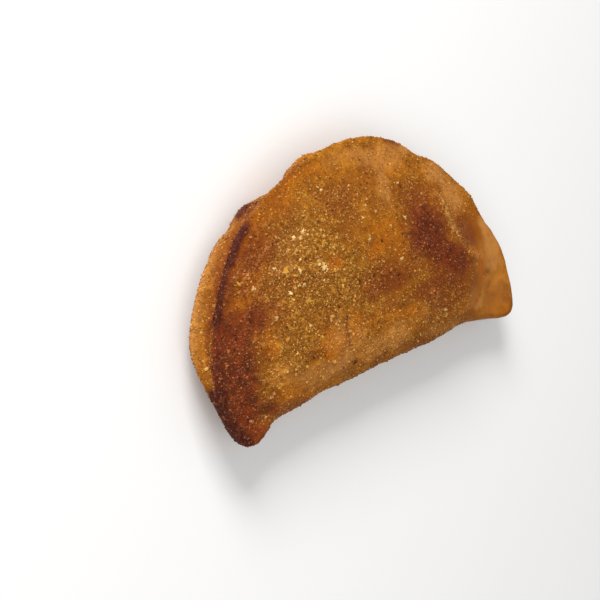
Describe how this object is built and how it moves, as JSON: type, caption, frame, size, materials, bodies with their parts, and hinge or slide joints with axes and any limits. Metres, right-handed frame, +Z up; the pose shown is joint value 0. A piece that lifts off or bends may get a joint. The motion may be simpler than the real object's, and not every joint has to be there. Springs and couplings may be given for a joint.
{
  "type": "chicken rissole",
  "caption": "Half-moon fried turnover in a crumbed golden-brown crust, with a sealed curved edge and pinched corners, lying flat with its browner face up",
  "frame": {"origin": "Bottom centre of the bounding box: the middle of the flat face that it lies on, at table level", "axes": "+X along the straight folded edge towards the thin pinched far corner, +Y from the fold to the middle of the curved edge, +Z up through the thickness"},
  "size_m": [0.1192, 0.0667, 0.0181],
  "materials": {
    "crust": "dry, rough fried breadcrumb crust, golden brown with darker burnt edges and patches"
  },
  "bodies": {
    "root": {"rissole": "crust"}
  },
  "joints": []
}
